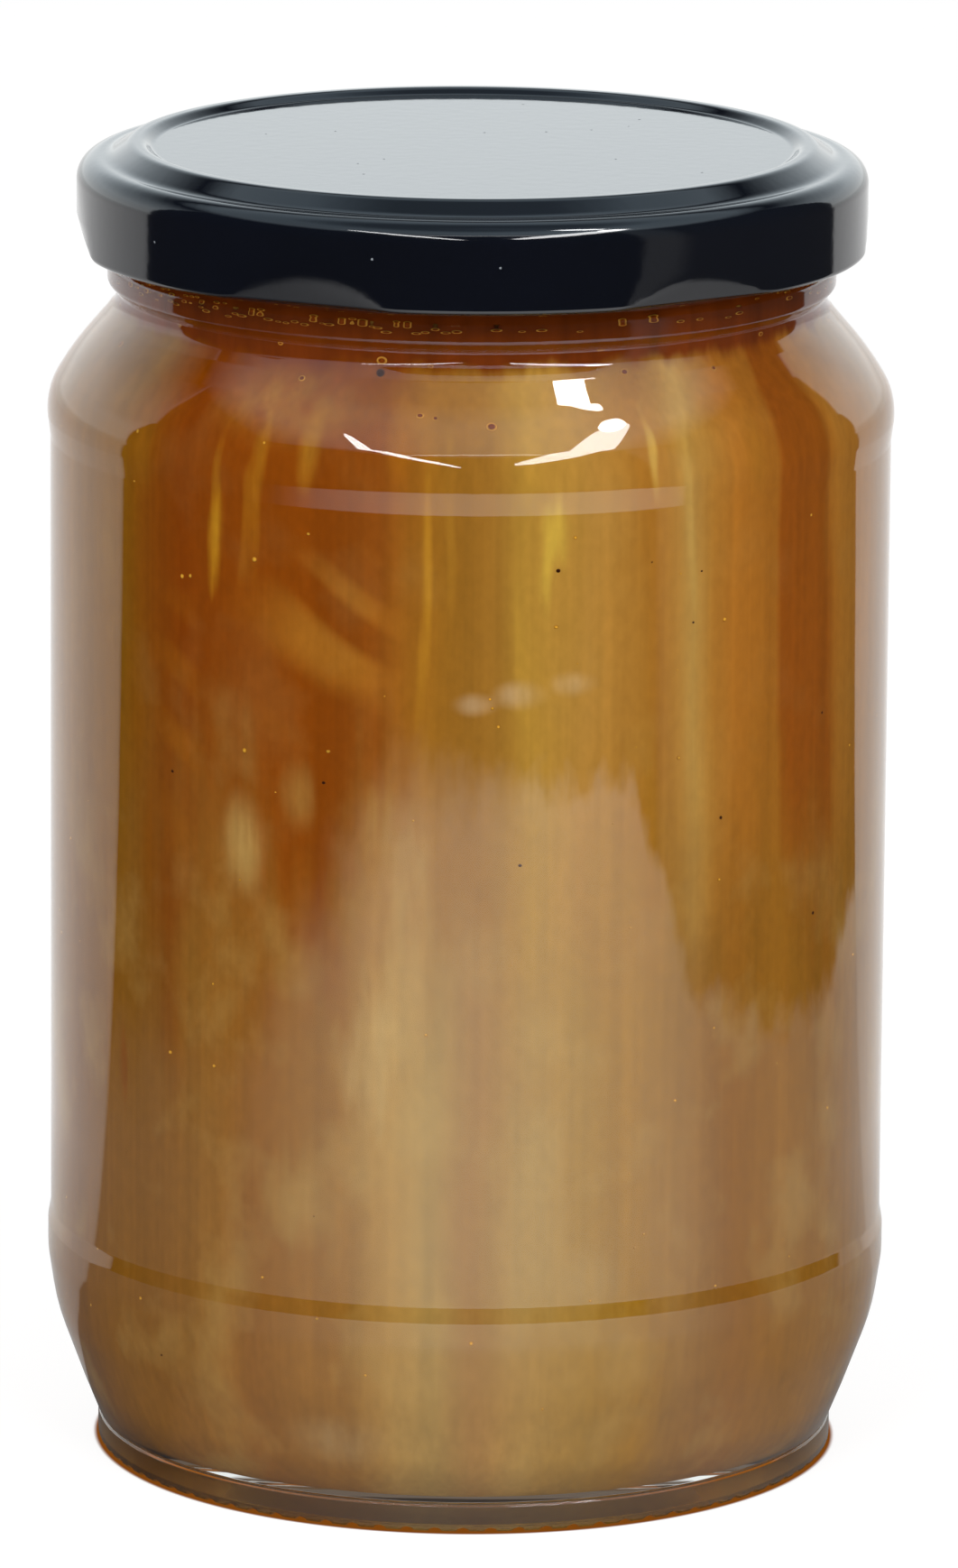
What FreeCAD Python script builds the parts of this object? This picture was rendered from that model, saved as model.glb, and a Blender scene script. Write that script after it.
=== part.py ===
import FreeCAD, Part
import math
import os

# A tall glass jar of honey with a twist-off steel lid, screwed shut.
# All sizes are in millimetres. The jar's axis is Z, and z = 0 is the table that it stands on.
# Three pieces: the jar (glass), the honey that fills it, and the lid (lacquered tinplate).

# --- jar, outside: radii ---
panel_radius = 45.05         # the long straight wall that takes a label
bulge_proud = 0.30           # heel and shoulder stand proud of that wall, to guard a label
foot_inset = 5.15            # the ring that the jar stands on lies this far inside that wall
bearing_width = 3.40         # flat of that ring
finish_radius = 39.90        # wall that the lid goes over
bead_proud = 0.95            # transfer bead just under the lid, beyond the waist of the neck

# --- jar, outside: heights ---
foot_height = 3.00
heel_height = 21.10          # foot of the heel's widest band, above the table
heel_band = 3.20             # widest band of the heel
heel_step = 1.70             # slope from that band in to the straight wall
panel_height = 84.85         # straight wall
shoulder_step = 2.35         # slope out to the widest band of the shoulder
shoulder_band = 1.90         # that band
shoulder_round = 2.90        # rounded top of the shoulder
shoulder_slope = 5.90        # cone from there up to the neck
neck_height = 3.30           # waist
bead_height = 2.90
finish_height = 10.52        # from the bead up to the rim

# --- jar, shape of the foot, heel, shoulder and neck ---
foot_notch = 0.25            # groove where the bottom mould meets the body mould
heel_flare = 1.60            # the heel's taper has a soft break this far outside the foot
heel_low_height = 7.20
heel_top_inset = 0.90        # the taper ends this far inside the widest place of the heel
heel_top_drop = 5.95
shoulder_inset = 1.15        # the shoulder's cone starts this far inside its widest place
neck_flare = 1.30            # the cone ends this far outside the waist
push_up = 2.20               # hollow under the base

# --- jar, glass thickness ---
wall = 2.60
shoulder_wall = 2.70
neck_wall = 1.60             # at the waist
finish_wall = 3.50
base_thickness = 2.70        # at the middle of the base, above the hollow
corner_inside = 6.00         # inside radius where wall and base meet

# --- knurl on the standing ring, and threads under the lid ---
knurl_count = 84
knurl_radius = 0.75
knurl_reach = 1.00           # how far a groove runs in from the ring's outer edge
thread_count = 6
thread_depth = 1.20
thread_height = 1.70
thread_angle = 44.0          # degrees of arc that one thread covers

# --- honey ---
head_space = 5.40            # from the rim down to the honey

# --- lid ---
sheet = 0.28                 # tinplate
lid_clearance = 2.05         # between the finish and the inside of the skirt
skirt_depth = 9.40           # skirt, below the seat on the rim
ledge_overlap = 1.10         # flat ring of the lid that bears on the rim, inside the finish's edge
ridge_rise = 1.60            # raised ring of the lid, above the ledge
ridge_width = 2.80           # from the ledge's inner edge in to the crest
ridge_inner = 1.85           # from the crest in to the foot of the middle panel
panel_drop = 0.70            # the middle panel lies this far below the crest
curl_width = 1.30            # rolled lower edge
curl_height = 1.25
lug_width = 19.80            # each pressed-in lug, along the skirt
lug_rise = 3.20              # height of the dent over a lug
lug_reach = 1.55             # the lug's inner edge, inside the skirt
lug_gap = 0.30               # between a lug and the thread above it
lug_turn = -25.0             # degrees from the front (-Y) to one of the lugs

# --- places on the jar, from its sizes ---
bulge_radius = panel_radius + bulge_proud
foot_radius = panel_radius - foot_inset
heel_low_radius = foot_radius + heel_flare
bearing_inner = foot_radius - bearing_width
bore_radius = finish_radius - finish_wall
neck_radius = bore_radius + neck_wall
bead_radius = neck_radius + bead_proud
floor_z = push_up + base_thickness
heel_top_z = heel_height - heel_top_drop
heel_band_z = heel_height + heel_band
panel_foot_z = heel_band_z + heel_step
panel_top_z = panel_foot_z + panel_height
shoulder_z = panel_top_z + shoulder_step
shoulder_band_z = shoulder_z + shoulder_band
shoulder_top_z = shoulder_band_z + shoulder_round
neck_z = shoulder_top_z + shoulder_slope
bead_z = neck_z + neck_height
finish_z = bead_z + bead_height
rim_z = finish_z + finish_height
honey_z = rim_z - head_space

# --- places of the lid, from the rim that it sits on ---
ledge_z = rim_z + sheet
skirt_radius = finish_radius + lid_clearance + sheet
skirt_foot_z = rim_z - skirt_depth
ledge_radius = finish_radius - ledge_overlap
crest_radius = ledge_radius - ridge_width
crest_z = ledge_z + ridge_rise
middle_radius = crest_radius - ridge_inner
middle_z = crest_z - panel_drop
lug_inner_radius = skirt_radius - sheet - lug_reach
lug_outer_radius = skirt_radius - sheet / 2
lug_top_z = skirt_foot_z + lug_rise
front = -90 + lug_turn       # direction of the first lug, in degrees about Z


def rounded_edges(corners):
    """Edges through corners (r, z, radius), each corner rounded by its own tangent arc."""
    points = [FreeCAD.Vector(r, 0, z) for r, z, _ in corners]
    edges = []
    start = points[0]
    for index in range(1, len(points) - 1):
        here = points[index]
        radius = corners[index][2]
        if radius == 0:
            edges.append(Part.LineSegment(start, here).toShape())
            start = here
            continue
        back = (points[index - 1] - here).normalize()
        ahead = (points[index + 1] - here).normalize()
        half_turn = back.getAngle(ahead) / 2
        reach = radius / math.tan(half_turn)
        middle = (back + ahead).normalize() * (radius / math.sin(half_turn) - radius)
        arc_start = here + back * reach
        arc_end = here + ahead * reach
        edges.append(Part.LineSegment(start, arc_start).toShape())
        edges.append(Part.Arc(arc_start, here + middle, arc_end).toShape())
        start = arc_end
    edges.append(Part.LineSegment(start, points[-1]).toShape())
    return edges


def turned(corners, angle=360.0):
    """Solid turned about Z from a closed outline of (r, z, radius) corners; the first is sharp."""
    face = Part.Face(Part.Wire(rounded_edges(corners + [corners[0]])))
    solid = face.revolve(FreeCAD.Vector(0, 0, 0), FreeCAD.Vector(0, 0, 1), angle)
    if solid.Volume < 0:
        solid.reverse()
    return solid


def ring_of(shape, count, first=0.0):
    """Copies of a shape, evenly spaced about Z."""
    copies = []
    for number in range(count):
        copy = shape.copy()
        turn = first + 360.0 * number / count
        copy.rotate(FreeCAD.Vector(0, 0, 0), FreeCAD.Vector(0, 0, 1), turn)
        copies.append(copy)
    return Part.makeCompound(copies)


def offset_corners(corners, distance):
    """An open outline moved sideways by distance, to the right of the way it runs."""
    lines = []
    for (r1, z1, _), (r2, z2, _) in zip(corners, corners[1:]):
        length = math.hypot(r2 - r1, z2 - z1)
        along = ((r2 - r1) / length, (z2 - z1) / length)
        shifted = (r1 + along[1] * distance, z1 - along[0] * distance)
        lines.append((shifted, along, length))
    start = lines[0][0]
    moved = [(start[0], start[1], 0)]
    for first, second, corner in zip(lines, lines[1:], corners[1:]):
        (p, a, _), (q, b, _) = first, second
        turn = a[0] * b[1] - a[1] * b[0]
        step = ((q[0] - p[0]) * b[1] - (q[1] - p[1]) * b[0]) / turn
        radius = max(corner[2] + math.copysign(distance, turn), 0)
        moved.append((p[0] + a[0] * step, p[1] + a[1] * step, radius))
    start, along, length = lines[-1]
    moved.append((start[0] + along[0] * length, start[1] + along[1] * length, 0))
    return moved


def inside_corners(top_z):
    """Inside of the glass, from the axis outwards and up to top_z."""
    return [
        (0, floor_z, 0),
        (heel_low_radius - wall, floor_z, corner_inside),
        (bulge_radius - heel_top_inset - wall, heel_top_z, 14.0),
        (panel_radius - wall, heel_band_z, 20.0),
        (panel_radius - wall, shoulder_z, 4.5),
        (bulge_radius - shoulder_inset - shoulder_wall, shoulder_top_z - 0.6, 4.0),
        (bore_radius, neck_z - 0.4, 3.0),
        (bore_radius, top_z, 1.2),
    ]


def make_jar():
    finish_foot = neck_radius + 0.4
    outside = [
        (0, push_up, 0),
        (bearing_inner - push_up, push_up, 2.0),
        (bearing_inner, 0, 0.6),
        (foot_radius, 0, 0.45),
        (foot_radius, foot_height - foot_notch, 0.2),
        (foot_radius - foot_notch, foot_height, 0.15),
        (foot_radius, foot_height + foot_notch, 0.3),
        (heel_low_radius, heel_low_height, 9.0),
        (bulge_radius - heel_top_inset, heel_top_z, 22.0),
        (bulge_radius, heel_height, 9.0),
        (bulge_radius, heel_band_z, 1.5),
        (panel_radius, panel_foot_z, 1.5),
        (panel_radius, panel_top_z, 1.5),
        (bulge_radius, shoulder_z, 1.5),
        (bulge_radius, shoulder_band_z, 3.5),
        (bulge_radius - shoulder_inset, shoulder_top_z, 4.0),
        (neck_radius + neck_flare, neck_z, 1.6),
        (neck_radius, neck_z + neck_height / 2, 2.0),
        (neck_radius, bead_z - 0.6, 0.5),
        (bead_radius, bead_z + 0.5, 0.8),
        (bead_radius, finish_z - 0.5, 0.8),
        (finish_foot, finish_z + 0.4, 0.3),
        (finish_foot, finish_z + 1.6, 0.3),
        (finish_radius, finish_z + 3.0, 0.5),
        (finish_radius, rim_z, 0.45),
    ]
    glass = turned(outside + inside_corners(rim_z)[::-1])
    return glass.cut(knurl_grooves()).fuse(threads()).removeSplitter()


def knurl_grooves():
    """Short radial grooves round the outer edge of the standing ring."""
    mouth = FreeCAD.Vector(foot_radius + knurl_radius, 0, -knurl_radius / 3)
    length = knurl_reach + knurl_radius
    groove = Part.makeCylinder(knurl_radius, length, mouth, FreeCAD.Vector(-1, 0, 0))
    return ring_of(groove, knurl_count)


def threads():
    """Thread starts round the finish, each above one lug of the lid."""
    low_z = lug_top_z + lug_gap
    crest = finish_radius + thread_depth
    root = finish_radius - 1
    section = [
        (root, low_z, 0),
        (crest, low_z, 0.3),
        (crest, low_z + thread_height / 2, 0.4),
        (root, low_z + thread_height, 0),
    ]
    return ring_of(turned(section, thread_angle), thread_count, front - thread_angle / 2)


def make_honey():
    rising = inside_corners(honey_z)
    surface_edge = (bore_radius, honey_z, 0)
    return turned(rising[:-1] + [surface_edge, (0, honey_z, 0)])


def make_lid():
    curl_radius = skirt_radius - curl_width
    outside = [
        (0, middle_z, 0),
        (middle_radius, middle_z, 0.9),
        (middle_radius + 1.0, crest_z, 1.3),
        (crest_radius + 0.5, crest_z, 1.4),
        (ledge_radius, ledge_z, 2.0),
        (skirt_radius, ledge_z, 2.4),
        (skirt_radius, skirt_foot_z, 0.62),
        (curl_radius, skirt_foot_z, 0.62),
        (curl_radius, skirt_foot_z + curl_height, 0),
    ]
    shell = turned(outside + offset_corners(outside, sheet)[::-1])
    return shell.fuse(lugs()).cut(lug_dents()).removeSplitter()


def lugs():
    """Parts of the rolled edge pressed in and up, to hook under the threads."""
    corner_cover = 2.3       # a lug runs this far past each end of its dent
    span = math.degrees((lug_width + 2 * corner_cover) / skirt_radius)
    section = [
        (lug_outer_radius, lug_top_z, 0),
        (lug_inner_radius, lug_top_z, 0.3),
        (lug_inner_radius, skirt_foot_z, 0.3),
        (lug_outer_radius, skirt_foot_z, 0.5),
    ]
    return ring_of(turned(section, span), thread_count, front - span / 2)


def lug_dents():
    """Sloping flats outside the lugs: each cuts the skirt in a crescent."""
    depth = skirt_radius - math.sqrt(skirt_radius ** 2 - (lug_width / 2) ** 2)
    lean = math.degrees(math.atan2(depth, lug_rise))
    height = 4 * lug_rise
    block = Part.makeBox(skirt_radius, 2 * lug_width, height)
    block.translate(FreeCAD.Vector(0, -lug_width, -height))
    block.rotate(FreeCAD.Vector(0, 0, 0), FreeCAD.Vector(0, 1, 0), lean)
    block.translate(FreeCAD.Vector(skirt_radius, 0, lug_top_z))
    return ring_of(block, thread_count, front)


def main():
    os.makedirs("parts", exist_ok=True)
    pieces = {"jar": make_jar(), "honey": make_honey(), "lid": make_lid()}
    for name, shape in pieces.items():
        volume = round(shape.Volume / 1000, 2)
        print(name, "solids", len(shape.Solids), "valid", shape.isValid(), "cm3", volume)
        shape.Solids[0].exportStep("parts/" + name + ".step")
    print("height", round(crest_z, 2), "width", round(2 * bulge_radius, 2))


main()
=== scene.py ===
import math
import random

import bpy
from mathutils import Matrix, Vector


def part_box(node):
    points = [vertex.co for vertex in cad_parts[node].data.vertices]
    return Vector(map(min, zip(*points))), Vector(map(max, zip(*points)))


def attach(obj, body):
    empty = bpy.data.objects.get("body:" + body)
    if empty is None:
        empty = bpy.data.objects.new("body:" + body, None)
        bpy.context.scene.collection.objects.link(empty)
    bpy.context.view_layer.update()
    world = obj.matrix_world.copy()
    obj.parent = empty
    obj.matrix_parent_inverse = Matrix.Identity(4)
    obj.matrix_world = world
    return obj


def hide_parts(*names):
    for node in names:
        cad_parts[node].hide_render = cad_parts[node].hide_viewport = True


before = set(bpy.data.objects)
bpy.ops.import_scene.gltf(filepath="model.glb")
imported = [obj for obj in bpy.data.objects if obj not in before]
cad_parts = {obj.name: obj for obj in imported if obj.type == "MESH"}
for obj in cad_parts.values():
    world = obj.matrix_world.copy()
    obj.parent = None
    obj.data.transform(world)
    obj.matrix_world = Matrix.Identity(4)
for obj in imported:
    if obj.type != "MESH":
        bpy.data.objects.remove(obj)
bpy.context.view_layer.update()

mm = 0.001
seed = random.Random(82)

# heights of the parts, from the frame, in millimetres
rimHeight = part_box("jar")[1].z / mm
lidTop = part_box("lid")[1].z / mm
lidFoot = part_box("lid")[0].z / mm
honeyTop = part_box("honey")[1].z / mm

# radii, heights and thicknesses of the glass, in millimetres
jarSize = dict(
    panelRadius=45.05,       # straight wall
    bulgeProud=0.30,         # heel and shoulder stand proud of it
    footRadius=39.90,        # standing ring
    bearingWidth=3.40,
    pushUp=2.20,             # hollow under the base
    bandTop=3.0,             # the ring's upper edge, marked by a fine groove
    bandGroove=0.25,
    heelLow=7.2,             # soft break of the heel's taper
    heelFlare=1.6,
    heelHigh=15.15,          # where the taper ends
    heelInset=0.9,
    heelFoot=21.1,           # the heel's widest band
    heelTop=24.3,
    panelFoot=26.0,          # the straight wall
    panelTop=110.85,
    shoulderFoot=113.2,      # the shoulder's widest band
    shoulderTop=115.1,
    shoulderInset=1.15,
    shoulderWall=2.7,
    domeInset=2.35,          # the shoulder's round reaches this far in
    coneFoot=118.0,
    coneTop=123.9,
    neckFlare=1.3,
    beadFoot=127.2,
    finishFoot=130.1,
    neckRadius=38.0,
    beadRadius=38.95,
    finishRadius=39.9,
    boreRadius=36.4,
    wall=2.6,
    floorHeight=3.9,         # inside of the base, a little low because the glass lifts its image
    cornerInside=6.0,
    knurls=84,               # grooves round the standing ring
    knurlRadius=0.75,
    knurlReach=1.0,
    knurlSteps=8,            # points round each groove
)


def linear(hexColour):
    # sRGB hex to the linear values that a shader takes
    values = []
    for start in (1, 3, 5):
        part = int(hexColour[start:start + 2], 16) / 255
        values.append(part / 12.92 if part <= 0.04045 else ((part + 0.055) / 1.055) ** 2.4)
    return (*values, 1.0)


def addNode(tree, kind, inputs=None, **settings):
    # adds a node: settings are its own options, inputs are values to set or sockets to link
    node = tree.nodes.new(kind)
    for name, value in settings.items():
        setattr(node, name, value)
    for name, value in (inputs or {}).items():
        if isinstance(value, bpy.types.NodeSocket):
            tree.links.new(value, node.inputs[name])
        else:
            node.inputs[name].default_value = value
    return node


def fillRamp(ramp, stops):
    # stops are (place, colour) pairs in order
    ramp.interpolation = "LINEAR"
    while len(ramp.elements) > 1:
        ramp.elements.remove(ramp.elements[-1])
    ramp.elements[0].position = stops[0][0]
    ramp.elements[0].color = stops[0][1]
    for place, colour in stops[1:]:
        ramp.elements.new(place).color = colour


def newMaterial(name):
    material = bpy.data.materials.new(name)
    material.use_nodes = True
    material.node_tree.nodes.clear()
    return material, material.node_tree


def roundedOutline(corners, stepAngle=5.0, guard=0.06):
    # points along an outline whose corners (radius, height, rounding) are tangent arcs.
    # A guard point beside each arc keeps the shading of the straight runs flat.
    points = [Vector((corners[0][0], corners[0][1]))]
    for before, corner, after in zip(corners, corners[1:], corners[2:]):
        here = Vector(corner[:2])
        back = (Vector(before[:2]) - here).normalized()
        ahead = (Vector(after[:2]) - here).normalized()
        if corner[2] == 0:
            points.append(here)
            continue
        halfTurn = math.acos(max(-1, min(1, back.dot(ahead)))) / 2
        reach = corner[2] / math.tan(halfTurn)
        centre = here + (back + ahead).normalized() * (corner[2] / math.sin(halfTurn))
        first = here + back * reach - centre
        last = here + ahead * reach - centre
        sweep = first.angle_signed(last)
        steps = max(2, math.ceil(abs(math.degrees(sweep)) / stepAngle))
        points.append(centre + first + back * guard)
        for step in range(steps + 1):
            turn = -sweep * step / steps
            spin = Matrix.Rotation(turn, 2)
            points.append(centre + spin @ first)
        points.append(centre + last + ahead * guard)
    points.append(Vector((corners[-1][0], corners[-1][1])))
    return [(point.x, point.y) for point in points]


def makeMesh(name, vertices, faces, smooth=True):
    mesh = bpy.data.meshes.new(name)
    mesh.from_pydata([(x * mm, y * mm, z * mm) for x, y, z in vertices], [], faces)
    mesh.validate()
    mesh.polygons.foreach_set("use_smooth", [smooth] * len(mesh.polygons))
    mesh.update()
    piece = bpy.data.objects.new(name, mesh)
    bpy.context.scene.collection.objects.link(piece)
    return piece


def lathe(name, outline, segments, reshape=None):
    # closed body turned about Z from an outline that starts and ends on the axis
    vertices = []
    rings = []
    for radius, height in outline:
        if radius < 1e-6:
            rings.append([len(vertices)])
            vertices.append((0, 0, height))
            continue
        rings.append(list(range(len(vertices), len(vertices) + segments)))
        for number in range(segments):
            angle = math.tau * number / segments
            r, z = reshape(radius, height, angle) if reshape else (radius, height)
            vertices.append((r * math.sin(angle), -r * math.cos(angle), z))
    faces = []
    for low, high in zip(rings, rings[1:]):
        for number in range(segments):
            after = (number + 1) % segments
            if len(low) == 1:
                faces.append((low[0], high[after], high[number]))
            elif len(high) == 1:
                faces.append((low[number], low[after], high[0]))
            else:
                faces.append((low[number], low[after], high[after], high[number]))
    return makeMesh(name, vertices, faces)


def insideCorners(into, top):
    # inside of the glass from the axis out and up, moved into the glass by a little
    s = jarSize
    bulge = s["panelRadius"] + s["bulgeProud"]
    wallRadius = s["panelRadius"] - s["wall"] + into
    return [
        (0, s["floorHeight"] - into, 0),
        (s["footRadius"] + s["heelFlare"] - s["wall"] + into, s["floorHeight"] - into, s["cornerInside"]),
        (bulge - s["heelInset"] - s["wall"] + into, s["heelHigh"], 14.0),
        (wallRadius, s["heelTop"], 20.0),
        (wallRadius, s["shoulderFoot"], 4.5),
        (bulge - s["shoulderInset"] - s["shoulderWall"] + into, s["coneFoot"] - 0.6, 4.0),
        (s["boreRadius"] + into, s["coneTop"] - 0.4, 3.0),
        (s["boreRadius"] + into, top, 1.2),
    ]


# metres, degrees and the lens in mm
cameraPlace = dict(distance=1.193, height=0.3439, pitch=12.83, roll=0.42, lens=260.3, aside=0.0069)

# what gloss and clear glass see round the jar: pairs of a direction from the front in degrees and a value,
# or of a share of the way up and a value
surround = dict(
    # how far the sheet of paper reaches, in metres, how bright it is, and how soft its edge is
    sheetEdge=[(-180, 1.0), (-107, 1.0), (-106, 0.22), (-62, 0.23), (-15, 0.405), (43, 0.405),
               (60, 0.275), (85, 0.248), (105, 0.247), (127, 0.295), (128, 1.0), (180, 1.0)],
    sheetLight=[(-180, 1.0), (-107, 1.0), (-106, 0.3), (-62, 0.35), (-35, 1.2), (-10, 1.9), (45, 1.9),
                (70, 0.9), (100, 0.65), (127, 0.8), (128, 1.0), (180, 1.0)],
    edgeBlur=[(-180, 0.02), (-70, 0.05), (-20, 0.06), (5, 0.025), (20, 0.012), (180, 0.012)],
    # the room beyond the sheet, the light overhead by height and by direction, and the wall behind
    roomLight=[(-180, 1.0), (-107, 1.0), (-105.5, 0.04), (49, 0.05), (51, 0.34), (60, 0.32),
               (66, 0.10), (126.5, 0.05), (128, 1.0), (180, 1.0)],
    overhead=[(0.0, 0.0), (0.66, 0.0), (0.75, 1.0), (0.88, 1.0), (0.96, 0.35), (1.0, 0.35)],
    overheadLight=[(-180, 0.9), (-115, 0.9), (-60, 1.0), (-10, 1.2), (45, 1.5), (110, 1.0), (130, 0.9),
                   (180, 0.9)],
    wallBehind=[(0.0, 1.1), (0.05, 1.5), (0.28, 1.5), (0.5, 0.8), (0.66, 0.0), (1.0, 0.0)],
    # painted shadow and painted amber light on the paper from the jar's axis out, as seen through the base
    paintedShadowUnderJar=[(0.0, "#5f4d40"), (0.26, "#665040"), (0.29, "#a0580e"), (0.345, "#b0640f"),
              (0.36, "#655548"), (0.75, "#6e5e51"), (1.0, "#ffffff")],
    underReach=3,            # those shares are of so many radii of the foot
    ringShare=0.335,         # share at which the foot ends
    paintedRingGlow="#8a4c12",      # painted amber light of the honey on the paper under the ring
    glowEdge=(0.334, 0.339),
    paintedJarShade="#6a4e3a",      # painted shade of the paper right under the jar, in gloss
    paintedShadeThroughBase="#655548",   # painted shade: the dim room that the base shows after a bounce inside it
    paintedNearShade=(0.045, 0.16, 0.35),   # from and to in metres, and how dark the painted shade of the jar is at its start
    ambient=0.55,            # even light of the room on matt things
    lampAim=0.07,            # height that the lamps face
)

# how bright the paper is to the eye: its own light, the part that shadows darken, and its real shade
paperLook = dict(size=2500, drop=0.1, glow=0.84, shaded=0.24, shade=0.75)


def directionRamp(tree, degrees, stops, scale=1.0):
    # a value that depends on the direction round the jar
    share = addNode(tree, "ShaderNodeMath", {0: degrees, 1: 1 / 360, 2: 0.5}, operation="MULTIPLY_ADD")
    ramp = addNode(tree, "ShaderNodeValToRGB", {"Fac": share.outputs[0]})
    fillRamp(ramp.color_ramp, [((a + 180) / 360, (v / scale, v / scale, v / scale, 1)) for a, v in stops])
    level = addNode(tree, "ShaderNodeMath", {0: ramp.outputs["Color"], 1: scale}, operation="MULTIPLY")
    return level.outputs[0]


def frontDegrees(tree, vector):
    # degrees round from the front, -180 to 180, of a point or direction
    parts = addNode(tree, "ShaderNodeSeparateXYZ", {"Vector": vector})
    back = addNode(tree, "ShaderNodeMath", {0: parts.outputs["Y"], 1: -1.0}, operation="MULTIPLY")
    turn = addNode(tree, "ShaderNodeMath", {0: parts.outputs["X"], 1: back.outputs[0]}, operation="ARCTAN2")
    degrees = addNode(tree, "ShaderNodeMath", {0: turn.outputs[0], 1: 180 / math.pi}, operation="MULTIPLY")
    return degrees.outputs[0], parts


def makeCamera():
    p = cameraPlace
    camera = bpy.data.objects.new("camera", bpy.data.cameras.new("camera"))
    bpy.context.scene.collection.objects.link(camera)
    camera.data.lens = p["lens"]
    camera.data.sensor_width = 36
    camera.data.clip_start = 0.05
    camera.data.shift_x = p["aside"]
    aim = Matrix.Rotation(math.radians(90 - p["pitch"]), 4, "X")
    lean = Matrix.Rotation(math.radians(p["roll"]), 4, "Z")
    camera.matrix_world = Matrix.Translation((0, -p["distance"], p["height"])) @ aim @ lean
    bpy.context.scene.camera = camera


def makeLamp(name, place, size, radiance, lean=0.0, onlyGloss=False):
    # lamp that faces the jar, placed by direction from the front, lift above the horizon and distance.
    # radiance is what a mirror shows of it, and lean turns it in its own plane
    light = bpy.data.lights.new(name, "AREA")
    light.shape = "ELLIPSE" if onlyGloss else "RECTANGLE"
    light.size, light.size_y = size
    light.energy = radiance * math.pi * size[0] * size[1]
    lamp = bpy.data.objects.new(name, light)
    bpy.context.scene.collection.objects.link(lamp)
    turn, lift, distance = place
    a, e = math.radians(turn), math.radians(lift)
    target = Vector((0, 0, surround["lampAim"]))
    away = distance * Vector((math.sin(a) * math.cos(e), -math.cos(a) * math.cos(e), math.sin(e)))
    aim = (-away).to_track_quat("-Z", "Y").to_matrix().to_4x4()
    spin = Matrix.Rotation(math.radians(lean), 4, "Z")
    lamp.matrix_world = Matrix.Translation(target + away) @ aim @ spin
    lamp.visible_camera = False
    lamp.visible_transmission = False
    lamp.visible_glossy = onlyGloss
    lamp.visible_diffuse = not onlyGloss


def paperInGloss(tree, degrees, away):
    # light of the paper and of the room beyond its torn edge, as gloss shows them
    place = addNode(tree, "ShaderNodeNewGeometry").outputs["Position"]
    edge = directionRamp(tree, degrees, surround["sheetEdge"])
    blur = directionRamp(tree, degrees, surround["edgeBlur"])
    ragged = addNode(tree, "ShaderNodeTexNoise", {"Vector": place, "Scale": 24.0, "Detail": 4.0})
    reach = addNode(tree, "ShaderNodeMath", {0: ragged.outputs["Fac"], 1: 0.06, 2: -0.03},
                    operation="MULTIPLY_ADD")
    past = addNode(tree, "ShaderNodeMath", {0: away, 1: edge}, operation="SUBTRACT")
    past = addNode(tree, "ShaderNodeMath", {0: past.outputs[0], 1: reach.outputs[0]}, operation="ADD")
    share = addNode(tree, "ShaderNodeMath", {0: past.outputs[0], 1: blur}, operation="DIVIDE")
    inside = addNode(tree, "ShaderNodeMapRange", {
        "Value": share.outputs[0], "From Min": -1.0, "From Max": 1.0, "To Min": 1.0, "To Max": 0.0},
        interpolation_type="SMOOTHSTEP")
    near = directionRamp(tree, degrees, surround["sheetLight"], 2.0)
    # painted shade: the jar's own shade darkens the paper close to it, as gloss shows it
    shadeFrom, shadeTo, darkest = surround["paintedNearShade"]
    shade = addNode(tree, "ShaderNodeMapRange", {
        "Value": away, "From Min": shadeFrom, "From Max": shadeTo, "To Min": darkest, "To Max": 1.0})
    near = addNode(tree, "ShaderNodeMath", {0: near, 1: shade.outputs[0]}, operation="MULTIPLY")
    far = directionRamp(tree, degrees, surround["roomLight"])
    both = addNode(tree, "ShaderNodeMix", {0: inside.outputs[0], 2: far, 3: near.outputs[0]},
                   data_type="FLOAT")
    return both.outputs[0]


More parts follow.
